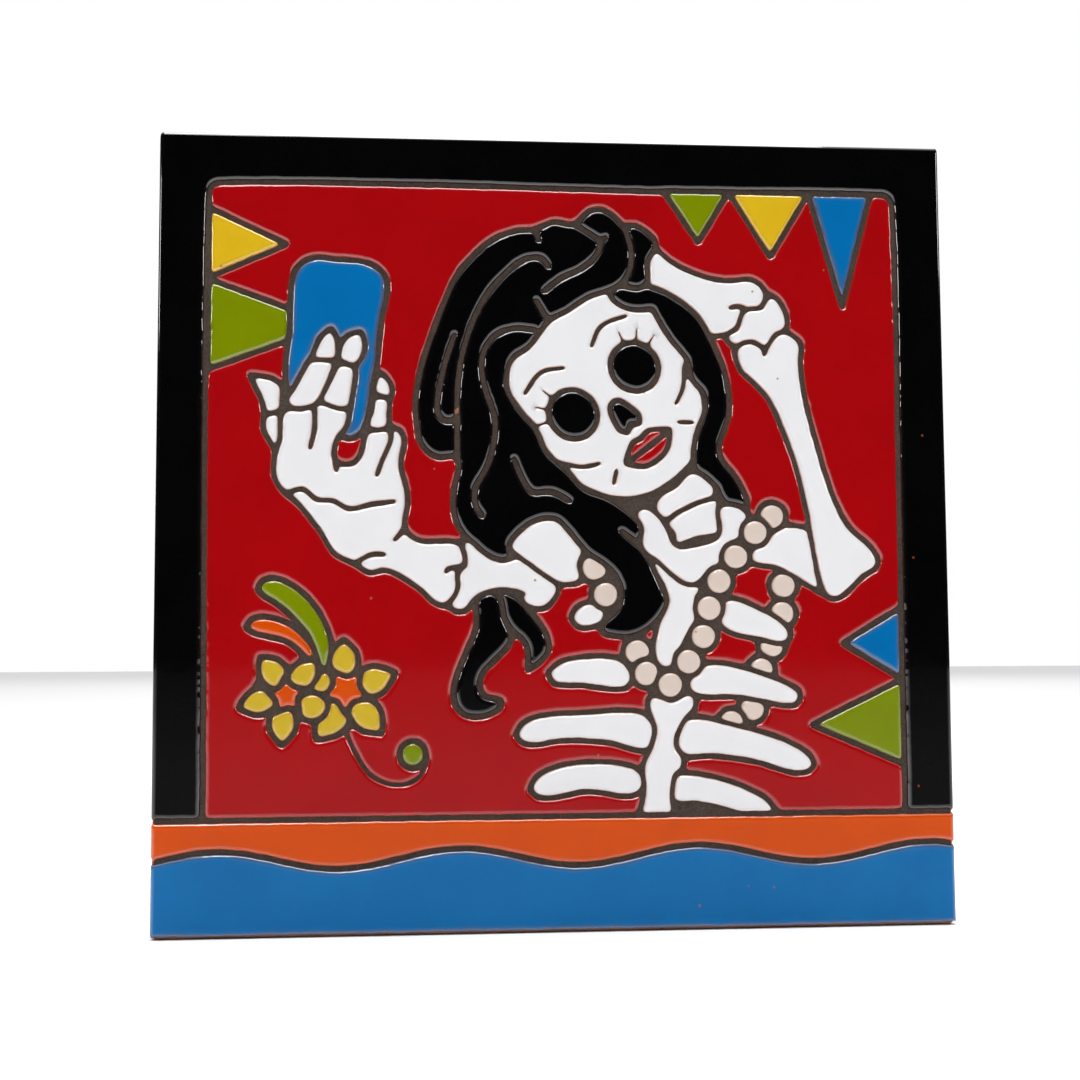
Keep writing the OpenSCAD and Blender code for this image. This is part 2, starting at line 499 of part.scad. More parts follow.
// The square face of the tile with round corners
module tile_face(inset) {
    translate([inset + corner_r, inset + corner_r])
        offset(r = corner_r, $fn = 48) square(tile_w - 2 * inset - 2 * corner_r);
}

// Puts a flat shape, drawn from the tile's bottom left corner, on the clay face
module on_face(height) {
    translate([-tile_w / 2, face_y, 0]) rotate([90, 0, 0]) linear_extrude(height) children();
}

// One glazed piece of the picture
module glaze(name) {
    on_face(glaze_t) pools(name);
}

// ---- Pieces ---------------------------------------------------------------------------------
// Fired clay body with pressed key hollows in its back
module tile_body() {
    cell_w = (tile_w - 2 * key_rim - (key_n - 1) * key_rib) / key_n;
    color("sandybrown")
        difference() {
            translate([-tile_w / 2, back_y, 0])
                rotate([90, 0, 0]) linear_extrude(body_t) tile_face(0);
            for (i = [0:key_n - 1], j = [0:key_n - 1])
                translate([key_rim - tile_w / 2 + i * (cell_w + key_rib), back_y - key_d,
                           key_rim + j * (cell_w + key_rib)])
                    cube([cell_w, key_d + 1, cell_w]);
        }
}

// The dry line: everywhere on the face that no pool covers
module dry_line() {
    color("dimgray")
        on_face(line_t)
            offset(delta = -gap)
                difference() {
                    tile_face(2 * edge_bare);
                    for (piece = PICTURE)
                        if (piece[0] != BARE)
                            pools(piece[0]);
                    for (k = [1:1:line_parts - 1]) {
                        translate([k * tile_w / line_parts, 0]) square([thread, tile_w]);
                        translate([0, k * tile_w / line_parts]) square([tile_w, thread]);
                    }
                }
}

module border_glaze() { color("black") glaze("border_glaze"); }
module orange_band_glaze() { color("orangered") glaze("orange_band_glaze"); }
module blue_wave_glaze() { color("steelblue") glaze("blue_wave_glaze"); }
module red_ground_glaze() { color("firebrick") glaze("red_ground_glaze"); }
module left_yellow_flag() { color("gold") glaze("left_yellow_flag"); }
module left_green_flag() { color("olivedrab") glaze("left_green_flag"); }
module top_green_flag() { color("olivedrab") glaze("top_green_flag"); }
module top_yellow_flag() { color("gold") glaze("top_yellow_flag"); }
module top_blue_flag() { color("steelblue") glaze("top_blue_flag"); }
module right_blue_flag() { color("steelblue") glaze("right_blue_flag"); }
module right_green_flag() { color("olivedrab") glaze("right_green_flag"); }
module green_leaf() { color("olivedrab") glaze("green_leaf"); }
module orange_leaf() { color("orangered") glaze("orange_leaf"); }
module right_petals() { color("goldenrod") glaze("right_petals"); }
module left_petals() { color("goldenrod") glaze("left_petals"); }
module flower_centres() { color("orangered") glaze("flower_centres"); }
module flower_bud() { color("olivedrab") glaze("flower_bud"); }
module phone() { color("steelblue") glaze("phone"); }
module thumb_tip() { color("white") glaze("thumb_tip"); }
module thumb_base() { color("white") glaze("thumb_base"); }
module left_hand_and_forearm() { color("white") glaze("left_hand_and_forearm"); }
module index_finger_base() { color("white") glaze("index_finger_base"); }
module index_finger_tip() { color("white") glaze("index_finger_tip"); }
module middle_finger_base() { color("white") glaze("middle_finger_base"); }
module middle_finger_tip() { color("white") glaze("middle_finger_tip"); }
module ring_finger_base() { color("white") glaze("ring_finger_base"); }
module ring_finger_tip() { color("white") glaze("ring_finger_tip"); }
module hidden_rib() { color("white") glaze("hidden_rib"); }
module left_beads() { color("mistyrose") glaze("left_beads"); }
module back_beads() { color("mistyrose") glaze("back_beads"); }
module upper_breastbone() { color("white") glaze("upper_breastbone"); }
module lower_breastbone() { color("white") glaze("lower_breastbone"); }
module left_rib_1() { color("white") glaze("left_rib_1"); }
module left_rib_2() { color("white") glaze("left_rib_2"); }
module left_rib_3() { color("white") glaze("left_rib_3"); }
module right_rib_1() { color("white") glaze("right_rib_1"); }
module right_rib_2() { color("white") glaze("right_rib_2"); }
module right_rib_3() { color("white") glaze("right_rib_3"); }
module right_rib_4() { color("white") glaze("right_rib_4"); }
module skull() { color("white") glaze("skull"); }
module eye_sockets() { color("black") glaze("eye_sockets"); }
module nose() { color("black") glaze("nose"); }
module lips() { color("firebrick") glaze("lips"); }
module right_forearm() { color("white") glaze("right_forearm"); }
module right_elbow() { color("white") glaze("right_elbow"); }
module right_upper_arm() { color("white") glaze("right_upper_arm"); }
module right_hair() { color("black") glaze("right_hair"); }
module back_hair_lock() { color("black") glaze("back_hair_lock"); }
module upper_neck() { color("white") glaze("upper_neck"); }
module lower_neck() { color("white") glaze("lower_neck"); }
module left_collarbone() { color("white") glaze("left_collarbone"); }
module right_collarbone() { color("white") glaze("right_collarbone"); }
module short_hair_lock() { color("black") glaze("short_hair_lock"); }
module long_hair_lock() { color("black") glaze("long_hair_lock"); }
module main_hair() { color("black") glaze("main_hair"); }
module left_upper_arm() { color("white") glaze("left_upper_arm"); }
module left_shoulder_blade() { color("white") glaze("left_shoulder_blade"); }
module front_beads() { color("mistyrose") glaze("front_beads"); }

tile_body();
dry_line();
border_glaze();
orange_band_glaze();
blue_wave_glaze();
red_ground_glaze();
left_yellow_flag();
left_green_flag();
top_green_flag();
top_yellow_flag();
top_blue_flag();
right_blue_flag();
right_green_flag();
green_leaf();
orange_leaf();
right_petals();
left_petals();
flower_centres();
flower_bud();
phone();
thumb_tip();
thumb_base();
left_hand_and_forearm();
index_finger_base();
index_finger_tip();
middle_finger_base();
middle_finger_tip();
ring_finger_base();
ring_finger_tip();
hidden_rib();
left_beads();
back_beads();
upper_breastbone();
lower_breastbone();
left_rib_1();
left_rib_2();
left_rib_3();
right_rib_1();
right_rib_2();
right_rib_3();
right_rib_4();
skull();
eye_sockets();
nose();
lips();
right_forearm();
right_elbow();
right_upper_arm();
right_hair();
back_hair_lock();
upper_neck();
lower_neck();
left_collarbone();
right_collarbone();
short_hair_lock();
long_hair_lock();
main_hair();
left_upper_arm();
left_shoulder_blade();
front_beads();
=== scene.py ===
"""Looks of a glazed picture tile in the dry-line technique, built round its packed design frame.

The tile is a fired clay body. A matte line of dry resist on its face keeps pools of coloured glass apart.
Each pool is meshed here from the outline of its node in the frame, with a smooth rounded rim, as molten
glaze leaves it. Lengths are in metres unless a name ends in _mm.
"""

from __future__ import annotations

import json
import logging
import math
from collections import Counter
from dataclasses import dataclass, field
from enum import Enum
from typing import Iterable, Union

import bmesh
import bpy
import numpy as np
from mathutils import Matrix, Vector, geometry, kdtree, noise


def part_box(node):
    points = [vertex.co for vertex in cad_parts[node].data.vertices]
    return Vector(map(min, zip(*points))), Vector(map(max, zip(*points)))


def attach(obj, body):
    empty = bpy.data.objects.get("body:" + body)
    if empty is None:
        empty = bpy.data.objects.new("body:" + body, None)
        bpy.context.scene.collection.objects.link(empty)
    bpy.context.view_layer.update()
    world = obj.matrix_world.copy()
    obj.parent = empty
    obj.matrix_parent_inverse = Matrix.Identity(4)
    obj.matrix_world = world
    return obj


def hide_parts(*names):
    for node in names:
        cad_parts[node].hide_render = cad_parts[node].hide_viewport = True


LOG = logging.getLogger("picture_tile")
MM = 0.001
NOISE_ROUGHNESS = 0.55
Colour = tuple[float, float, float, float]
Term = Union["Value", bpy.types.NodeSocket, float, int, str, bool, tuple]


def srgb(red: int, green: int, blue: int) -> Colour:
    """Turns a colour on a paint chart's 0 to 255 scale into Blender's linear colour.

    Args:
        red: red part, 0 to 255.
        green: green part, 0 to 255.
        blue: blue part, 0 to 255.

    Returns:
        The linear colour with an alpha of 1.
    """
    parts = [part / 255 for part in (red, green, blue)]
    linear = [p / 12.92 if p <= 0.04045 else ((p + 0.055) / 1.055) ** 2.4 for p in parts]
    return (linear[0], linear[1], linear[2], 1.0)


# ---- Node trees ------------------------------------------------------------------------------


class Value:
    """An output of a node, with the arithmetic that the finishes and shapes use."""

    def __init__(self, nodes: "Nodes", socket: bpy.types.NodeSocket) -> None:
        """Wraps one socket of a tree."""
        self.nodes = nodes
        self.socket = socket

    def __add__(self, other: Term) -> "Value":
        """Sum of two values."""
        return self.nodes.math("ADD", self, other)

    def __sub__(self, other: Term) -> "Value":
        """Difference of two values."""
        return self.nodes.math("SUBTRACT", self, other)

    def __rsub__(self, other: Term) -> "Value":
        """Difference with the number first."""
        return self.nodes.math("SUBTRACT", other, self)

    def __mul__(self, other: Term) -> "Value":
        """Product of two values."""
        return self.nodes.math("MULTIPLY", self, other)

    def __truediv__(self, other: Term) -> "Value":
        """Quotient of two values."""
        return self.nodes.math("DIVIDE", self, other)

    def __pow__(self, other: Term) -> "Value":
        """Power of a value."""
        return self.nodes.math("POWER", self, other)

    def clamped(self) -> "Value":
        """The value held between 0 and 1."""
        return self.nodes.math("ADD", self, 0.0, clamp=True)

    __radd__ = __add__
    __rmul__ = __mul__


class Nodes:
    """Adds nodes to one tree, for a material, the world or a shape."""

    def __init__(self, tree: bpy.types.NodeTree) -> None:
        """Starts with an empty tree."""
        self.tree = tree
        tree.nodes.clear()

    def node(self, kind: str, settings: dict | None = None, sockets: dict | None = None) -> bpy.types.Node:
        """Adds one node.

        Args:
            kind: the node's type.
            settings: properties, set before the sockets.
            sockets: inputs by name or number, each a plain value or a link.

        Returns:
            The new node.
        """
        made = self.tree.nodes.new(kind)
        for name, value in (settings or {}).items():
            setattr(made, name, value)
        for name, value in (sockets or {}).items():
            self.feed(made.inputs[name], value)
        return made

    def feed(self, socket: bpy.types.NodeSocket, value: Term) -> None:
        """Links an input to a value's socket, or sets the input to a plain value."""
        if isinstance(value, Value):
            self.tree.links.new(value.socket, socket)
        elif isinstance(value, bpy.types.NodeSocket):
            self.tree.links.new(value, socket)
        else:
            socket.default_value = value

    def value(self, made: bpy.types.Node, output: str | int = 0) -> Value:
        """Wraps an output of a node for arithmetic."""
        return Value(self, made.outputs[output])

    def math(self, operation: str, *terms: Term, clamp: bool = False) -> Value:
        """Adds one Math node on its terms."""
        settings = {"operation": operation, "use_clamp": clamp}
        return self.value(self.node("ShaderNodeMath", settings, dict(enumerate(terms))))

    def blend(self, share: Term, below: Term, above: Term) -> Value:
        """Mixes two colours; a share of 1 gives the one above."""
        sockets = {0: share, 6: below, 7: above}
        return self.value(self.node("ShaderNodeMix", {"data_type": "RGBA"}, sockets), 2)

    def noise(self, place: Term, per_metre: float, detail: float = 2.0) -> Value:
        """Smooth noise from 0 to 1 at a place, with so many waves a metre."""
        sockets = {"Vector": place, "Scale": per_metre, "Detail": detail, "Roughness": NOISE_ROUGHNESS}
        return self.value(self.node("ShaderNodeTexNoise", None, sockets), "Fac")

    def specks(self, place: Term, per_metre: float, size: float, share: float) -> Value:
        """Small round specks: 1 at their middle and 0 outside.

        Args:
            place: where the pattern is read.
            per_metre: how many cells the pattern has along a metre.
            size: a speck's radius as a share of a cell.
            share: the share of the cells that hold a speck.

        Returns:
            The mask of the specks.
        """
        cells = self.node("ShaderNodeTexVoronoi", None, {"Vector": place, "Scale": per_metre})
        dot = (1 - self.value(cells, "Distance") / size).clamped()
        pick = self.node("ShaderNodeSeparateColor", None, {"Color": cells.outputs["Color"]})
        chosen = self.math("LESS_THAN", self.value(pick, "Red"), share)
        return dot * chosen


class Surface:
    """A material under construction: one Principled surface and the nodes that feed it."""

    def __init__(self, name: str) -> None:
        """Makes a material with this name and an empty tree."""
        self.material = bpy.data.materials.new(name)
        self.material.use_nodes = True
        self.nodes = Nodes(self.material.node_tree)
        coordinates = self.nodes.node("ShaderNodeTexCoord")
        self.place = coordinates.outputs["Object"]

    def attribute(self, name: str) -> Value:
        """A number that the mesh stores under this name."""
        return self.nodes.value(self.nodes.node("ShaderNodeAttribute", {"attribute_name": name}), "Fac")

    def bump(self, height: Term, depth: float) -> bpy.types.NodeSocket:
        """Turns a height from 0 to 1 into a normal; depth is the height of 1 in metres."""
        made = self.nodes.node("ShaderNodeBump", None, {"Strength": 1.0, "Distance": depth, "Height": height})
        return made.outputs["Normal"]

    def finish(self, sockets: dict) -> bpy.types.Material:
        """Adds the Principled surface with these inputs and returns the material."""
        shader = self.nodes.node("ShaderNodeBsdfPrincipled", None, sockets)
        self.nodes.node("ShaderNodeOutputMaterial", None, {"Surface": shader.outputs["BSDF"]})
        return self.material


# ---- Finishes --------------------------------------------------------------------------------

BARE_CLAY = srgb(150, 88, 62)


@dataclass(frozen=True)
class GlazeFinish:
    """A coloured glass over clay. Waves, cells and grains are counted along a metre."""

    name: str
    full: Colour
    deep: Colour
    thin: Colour
    patchiness: float = 0.5
    thin_width: float = 0.35 * MM
    roughness: float = 0.045
    gloss: float = 0.1
    speck_share: float = 0.05
    speck: Colour = BARE_CLAY
    coat_width: float = 0.9 * MM
    coat_roughness: float = 0.05
    coat_ior: float = 2.0
    ripple_depth: float = 0.006 * MM
    clouds: float = 90.0
    grains: float = 1400.0
    rim_wavers: float = 260.0
    smears: float = 55.0
    ripples: float = 380.0
    pinhole_cells: float = 420.0
    pinhole_size: float = 0.13

    def material(self) -> bpy.types.Material:
        """Builds the glaze: patchy depth of colour, thin glossy rims, pinholes and a soft ripple."""
        surface = Surface(self.name)
        nodes = surface.nodes
        place = surface.place
        cloud = nodes.noise(place, self.clouds)
        grain = nodes.noise(place, self.grains, 3)
        patches = (cloud * 1.6 - 0.3 + (grain - 0.5) * 0.35).clamped() * self.patchiness
        body = nodes.blend(patches, self.full, self.deep)
        reach = self.thin_width * (0.55 + nodes.noise(place, self.rim_wavers) * 0.9)
        thinness = (1 - surface.attribute("rim") / reach).clamped() ** 1.5
        colour = nodes.blend(thinness, body, self.thin)
        pinholes = nodes.specks(place, self.pinhole_cells, self.pinhole_size, self.speck_share)
        colour = nodes.blend((pinholes * 3).clamped() * 0.75, colour, self.speck)
        smear = nodes.noise(place, self.smears, 3)
        peel = nodes.noise(place, self.ripples, 1) * 0.7 - (pinholes * 4).clamped() * 0.5
        return surface.finish(
            {
                "Base Color": colour,
                "Roughness": self.roughness + smear * 0.05 + pinholes * 0.3,
                "IOR": 1.5,
                "Specular IOR Level": self.gloss,
                "Coat Weight": (1 - surface.attribute("edge") / self.coat_width).clamped(),
                "Coat Roughness": self.coat_roughness,
                "Coat IOR": self.coat_ior,
                "Normal": surface.bump(peel, self.ripple_depth),
            }
        )


@dataclass(frozen=True)
class ClayFinish:
    """The fired clay of the body. Waves and cells are counted along a metre."""

    name: str = "fired_clay"
    light: Colour = srgb(178, 126, 98)
    dark: Colour = srgb(136, 88, 64)
    grog: Colour = srgb(96, 58, 42)
    flames: float = 35.0
    sands: float = 2600.0
    grog_cells: float = 1100.0
    pit_cells: float = 520.0
    skins: float = 1500.0
    skin_depth: float = 0.05 * MM

    def material(self) -> bpy.types.Material:
        """Builds the clay: cloudy firing colour, coarse grog and a dry, pitted skin."""
        surface = Surface(self.name)
        nodes = surface.nodes
        place = surface.place
        flame = nodes.noise(place, self.flames, 4)
        sand = nodes.noise(place, self.sands, 2)
        colour = nodes.blend((flame * 1.8 - 0.4).clamped(), self.light, self.dark)
        colour = nodes.blend((sand - 0.45).clamped() * 0.8, colour, self.dark)
        grog = nodes.specks(place, self.grog_cells, 0.3, 0.2)
        colour = nodes.blend((grog * 2.5).clamped() * 0.7, colour, self.grog)
        pits = nodes.specks(place, self.pit_cells, 0.25, 0.25)
        height = nodes.noise(place, self.skins, 4) * 0.8 - (pits * 2).clamped() * 0.6
        return surface.finish(
            {
                "Base Color": colour,
                "Roughness": 0.82 + sand * 0.15,
                "Normal": surface.bump(height, self.skin_depth),
            }
        )


@dataclass(frozen=True)
class LineFinish:
    """The dry, unglazed resist of the drawing. Waves and cells are counted along a metre."""

    name: str = "dry_line"
    body: Colour = srgb(60, 48, 41)
    dust: Colour = srgb(94, 79, 67)
    burnt: Colour = srgb(34, 27, 23)
    powders: float = 3200.0
    patches: float = 240.0
    grain_cells: float = 2200.0
    grain_depth: float = 0.06 * MM

    def material(self) -> bpy.types.Material:
        """Builds the line: powdery grey-brown with burnt patches and a grainy skin."""
        surface = Surface(self.name)
        nodes = surface.nodes
        place = surface.place
        powder = nodes.noise(place, self.powders, 3)
        patch = nodes.noise(place, self.patches, 3)
        colour = nodes.blend((patch * 1.8 - 0.5).clamped(), self.body, self.burnt)
        colour = nodes.blend((powder * 2.4 - 0.9).clamped() * 0.7, colour, self.dust)
        grains = nodes.specks(place, self.grain_cells, 0.45, 0.4)
        height = powder * 0.7 + grains * 0.6
        return surface.finish(
            {
                "Base Color": colour,
                "Roughness": 0.78 + powder * 0.2,
                "Normal": surface.bump(height, self.grain_depth),
            }
        )


@dataclass(frozen=True)
class FloorFinish:
    """The pale matte top that the tile stands on."""

    name: str = "pale_floor"
    colour: Colour = (0.86, 0.86, 0.87, 1.0)

    def material(self) -> bpy.types.Material:
        """Builds a plain matte surface."""
        surface = Surface(self.name)
        return surface.finish({"Base Color": self.colour, "Roughness": 0.6, "Specular IOR Level": 0.2})


class Glazes(Enum):
    """The glazes of the picture, by the material slot that each one fills."""

    BLACK = GlazeFinish(
        "black_glaze", srgb(3, 3, 4), srgb(8, 7, 8), srgb(52, 28, 20),
        gloss=0.05, speck_share=0.012, speck=srgb(120, 60, 30),
    )
    RED = GlazeFinish("red_glaze", srgb(158, 7, 12), srgb(138, 6, 10), srgb(132, 56, 36), speck_share=0.03)
    BLUE = GlazeFinish(
        "blue_glaze", srgb(5, 104, 166), srgb(3, 88, 148), srgb(86, 84, 96), thin_width=1.1 * MM
    )
    YELLOW = GlazeFinish("yellow_glaze", srgb(210, 174, 30), srgb(196, 152, 22), srgb(172, 118, 56))
    PETAL = GlazeFinish(
        "petal_glaze", srgb(196, 168, 44), srgb(180, 148, 38), srgb(168, 112, 62), thin_width=0.5 * MM
    )
    GREEN = GlazeFinish("green_glaze", srgb(117, 132, 4), srgb(100, 116, 2), srgb(112, 96, 36))
    ORANGE = GlazeFinish("orange_glaze", srgb(202, 74, 5), srgb(188, 64, 3), srgb(154, 78, 38))
    WHITE = GlazeFinish(
        "white_glaze", srgb(224, 224, 225), srgb(214, 215, 218), srgb(204, 158, 138), patchiness=0.6
    )
    BEAD = GlazeFinish(
        "bead_glaze", srgb(210, 195, 184), srgb(196, 178, 167), srgb(176, 140, 122), roughness=0.16
    )


# ---- Flat outlines and their meshes ----------------------------------------------------------

# Depth of the band, from a node's foremost point back, that counts as its front face
FRONT_BAND_MM = 0.01
# Share of its distance from the rim that a ring point must keep from every other stretch of rim
RING_CLEARANCE = 0.93
# Distance between the rows of a triangular grid, as a share of its spacing
ROW_SHARE = 0.866
# Room between the last ring and the grid, as a share of the grid's spacing
GRID_CLEARANCE = 0.45


def distances(places: np.ndarray, marks: np.ndarray) -> tuple[np.ndarray, np.ndarray]:
    """Finds the nearest of some marks to each place.

    Args:
        places: flat places.
        marks: flat places to measure to.

    Returns:
        The number of the nearest mark to each place, and its distance.
    """
    tree = kdtree.KDTree(len(marks))
    for index, mark in enumerate(marks):
        tree.insert((mark[0], mark[1], 0.0), index)
    tree.balance()
    found = [tree.find((place[0], place[1], 0.0)) for place in places]
    near = np.array([index for _, index, _ in found], dtype=int)
    return near, np.array([distance for _, _, distance in found])


class Outline:
    """Closed loops in the plane of the tile's face, in millimetres, with the inside on their left."""

    def __init__(self, loops: list[np.ndarray]) -> None:
        """Keeps the loops, and the points and inward directions of all of them in one row."""
        self.loops = loops
        self.points = np.concatenate(loops)
        self.inward = np.concatenate([self._inward(loop) for loop in loops])

    @staticmethod
    def _inward(loop: np.ndarray) -> np.ndarray:
        """Unit directions to the left of a loop at its points."""
        along = np.roll(loop, -1, axis=0) - np.roll(loop, 1, axis=0)
        left = np.stack([-along[:, 1], along[:, 0]], axis=1)
        return left / np.maximum(np.linalg.norm(left, axis=1, keepdims=True), 1e-9)

    @classmethod
    def of_node(cls, name: str, step_mm: float, rounds: int) -> "Outline":
        """Reads the front outline of a node of the frame and smooths it.

        Args:
            name: the node's name.
            step_mm: distance between the points of the result.
            rounds: how many times each point is averaged with its neighbours.

        Returns:
            The outline of the node's front face.
        """
        mesh = FRAME["nodes"][name].data
        mesh.calc_loop_triangles()
        places = np.empty(len(mesh.vertices) * 3)
        mesh.vertices.foreach_get("co", places)
        places = places.reshape(-1, 3) / MM
        triangles = np.empty(len(mesh.loop_triangles) * 3, dtype=int)
        mesh.loop_triangles.foreach_get("vertices", triangles)
        triangles = triangles.reshape(-1, 3)
        on_front = places[:, 1] < places[:, 1].min() + FRONT_BAND_MM
        triangles = triangles[on_front[triangles].all(axis=1)]
        flat = np.round(places[:, [0, 2]], 4)
        shared, same = np.unique(flat, axis=0, return_inverse=True)
        loops = [shared[ring] for ring in cls._rings(same.reshape(-1)[triangles])]
        return cls([cls._smooth(loop, step_mm, rounds) for loop in loops if len(loop) > 2])

    @staticmethod
    def _rings(triangles: np.ndarray) -> list[list[int]]:
        """Chains the open edges of a flat patch of triangles into closed rings."""
        uses = Counter((int(t[k]), int(t[(k + 1) % 3])) for t in triangles for k in range(3))
        following: dict[int, list[int]] = {}
        for (start, end), times in sorted(uses.items()):
            if start != end and times > uses[end, start]:
                following.setdefault(start, []).extend([end] * (times - uses[end, start]))
        rings = []
        while following:
            first = next(iter(following))
            ring, here = [], first
            while here in following:
                ring.append(here)
                ends = following[here]
                onward = ends.pop()
                if not ends:
                    del following[here]
                here = onward
            rings.append(ring)
        return rings

    @staticmethod
    def _smooth(loop: np.ndarray, step_mm: float, rounds: int) -> np.ndarray:
        """Spaces a loop's points evenly and averages them with their neighbours."""
        closed = np.vstack([loop, loop[:1]])
        run = np.concatenate([[0.0], np.cumsum(np.linalg.norm(np.diff(closed, axis=0), axis=1))])
        count = max(8, int(run[-1] / step_mm))
        stops = np.linspace(0, run[-1], count, endpoint=False)
        even = np.stack([np.interp(stops, run, closed[:, axis]) for axis in (0, 1)], axis=1)
        for _ in range(rounds):
            even = 0.5 * even + 0.25 * (np.roll(even, 1, axis=0) + np.roll(even, -1, axis=0))
        return even

    def moved(self, shift: np.ndarray) -> "Outline":
        """The outline with each point moved by its own shift."""
        cuts = np.cumsum([len(loop) for loop in self.loops])[:-1]
        return Outline(np.split(self.points + shift, cuts))

    def depth(self, places: np.ndarray) -> np.ndarray:
        """Distance from each place to the outline, negative outside it."""
        near, away = distances(places, self.points)
        side = np.einsum("ij,ij->i", places - self.points[near], self.inward[near])
        return np.where(side >= 0, away, -away)

    def holds(self, places: np.ndarray) -> np.ndarray:
        """Whether each place is inside, by counting the edges to its right."""
        inside = np.zeros(len(places), dtype=bool)
        for loop in self.loops:
            ends = np.roll(loop, -1, axis=0)
            for (x0, z0), (x1, z1) in zip(loop, ends):
                if z0 == z1:
                    continue
                spans = (places[:, 1] < z0) != (places[:, 1] < z1)
                inside ^= spans & (places[:, 0] < (x1 - x0) * (places[:, 1] - z0) / (z1 - z0) + x0)
        return inside

    def inner_points(self, rings: Iterable[tuple[float, int]], grid_mm: float) -> np.ndarray:
        """Points inside the outline: rings along its rim and a loose grid in the open.

        Args:
            rings: pairs of a distance from the rim and how many outline points to skip by.
            grid_mm: spacing of the grid.

        Returns:
            The points, in millimetres.
        """
        kept = [np.empty((0, 2))]
        farthest = 0.0
        for distance, skip in rings:
            ring = (self.points + self.inward * distance)[::skip]
            kept.append(ring[self.depth(ring) >= distance * RING_CLEARANCE])
            farthest = distance
        low, high = self.points.min(axis=0), self.points.max(axis=0)
        rows = np.arange(low[1], high[1], grid_mm * ROW_SHARE)
        columns = np.arange(low[0], high[0], grid_mm)
        if len(rows) and len(columns):
            grid = np.array([(x + (k % 2) * grid_mm / 2, z) for k, z in enumerate(rows) for x in columns])
            kept.append(grid[self.depth(grid) >= farthest + grid_mm * GRID_CLEARANCE])
        return np.concatenate(kept)

    def filled(self, inner: np.ndarray) -> tuple[np.ndarray, np.ndarray]:
        """Triangles over the inside of the outline.

        Args:
            inner: further points for the triangles to use.

        Returns:
            The places of all points, outline first, and the triangles.
        """
        places = np.concatenate([self.points, inner])
        edges, start = [], 0
        for loop in self.loops:
            count = len(loop)
            edges += [(start + k, start + (k + 1) % count) for k in range(count)]
            start += count
        result = geometry.delaunay_2d_cdt([Vector(p) for p in places], edges, [], 0, 1e-5)
        found = np.array([tuple(v) for v in result[0]])
        faces = np.array([f for f in result[2] if len(f) == 3], dtype=int)
        origin = np.array([ids[0] if ids else -1 for ids in result[3]])
        on_rim = (origin < len(self.points))[faces].all(axis=1)
        middles = found[faces].mean(axis=1)
        keep = np.ones(len(faces), dtype=bool)
        keep[on_rim] = self.holds(middles[on_rim])
        return found, faces[keep]


def new_mesh(name: str, places: np.ndarray, faces: list) -> bpy.types.Object:
    """Makes a smooth-shaded mesh object at the origin and links it to the scene."""
    mesh = bpy.data.meshes.new(name)
    mesh.from_pydata([tuple(p) for p in places], [], [tuple(int(i) for i in f) for f in faces])
    mesh.validate()
    mesh.polygons.foreach_set("use_smooth", [True] * len(mesh.polygons))
    made = bpy.data.objects.new(name, mesh)
    bpy.context.scene.collection.objects.link(made)
    return made


def store(made: bpy.types.Object, name: str, values: np.ndarray) -> None:
    """Stores one number a vertex on a mesh, under a name."""
    attribute = made.data.attributes.new(name, "FLOAT", "POINT")
    attribute.data.foreach_set("value", values.astype(np.float32))


# ---- Shapes made by rule ---------------------------------------------------------------------

# Stored in place of a distance on the underside of a pool
UNDERSIDE = -1.0


class Shape:
    """A tree of geometry nodes that makes or changes a mesh."""

    def __init__(self, name: str, inputs: dict[str, tuple[str, object]]) -> None:
        """Starts the tree with a geometry input and these named inputs of a kind and a value."""
        self.tree = bpy.data.node_groups.new(name, "GeometryNodeTree")
        self.nodes = Nodes(self.tree)
        self.tree.interface.new_socket("Geometry", in_out="INPUT", socket_type="NodeSocketGeometry")
        for label, (kind, value) in inputs.items():
            made = self.tree.interface.new_socket(label, in_out="INPUT", socket_type=kind)
            if value is not None:
                made.default_value = value
        self.tree.interface.new_socket("Geometry", in_out="OUTPUT", socket_type="NodeSocketGeometry")
        self.source = self.nodes.node("NodeGroupInput")

    def input(self, label: str) -> Value:
        """One of the tree's named inputs."""
        return self.nodes.value(self.source, label)

    def attribute(self, name: str) -> Value:
        """A number that the mesh stores under this name."""
        settings = {"data_type": "FLOAT"}
        made = self.nodes.node("GeometryNodeInputNamedAttribute", settings, {"Name": name})
        return self.nodes.value(made, "Attribute")

    def end(self, shape: Term) -> None:
        """Realizes the instances, sets the material and ends the tree."""
        real = self.nodes.node("GeometryNodeRealizeInstances", None, {"Geometry": shape})
        dressed = self.nodes.node(
            "GeometryNodeSetMaterial",
            None,
            {"Geometry": real.outputs["Geometry"], "Material": self.source.outputs["Material"]},
        )
        self.nodes.node("NodeGroupOutput", None, {"Geometry": dressed.outputs["Geometry"]})

    def applied(self, made: bpy.types.Object, values: dict[str, object]) -> bpy.types.Object:
        """Runs the tree on an object and keeps the result as its plain mesh.

        Args:
            made: the object whose mesh is the input.
            values: the named inputs that differ from the tree's own.

        Returns:
            The same object with the new mesh and no modifier.
        """
        modifier = made.modifiers.new(self.tree.name, "NODES")
        modifier.node_group = self.tree
        sockets = [item for item in self.tree.interface.items_tree if item.in_out == "INPUT"]
        keys = {item.name: item.identifier for item in sockets}
        for label, value in values.items():
            modifier[keys[label]] = value
        graph = bpy.context.evaluated_depsgraph_get()
        result = bpy.data.meshes.new_from_object(made.evaluated_get(graph))
        made.modifiers.remove(modifier)
        before = made.data
        made.data = result
        bpy.data.meshes.remove(before)
        made.data.name = made.name
        return made


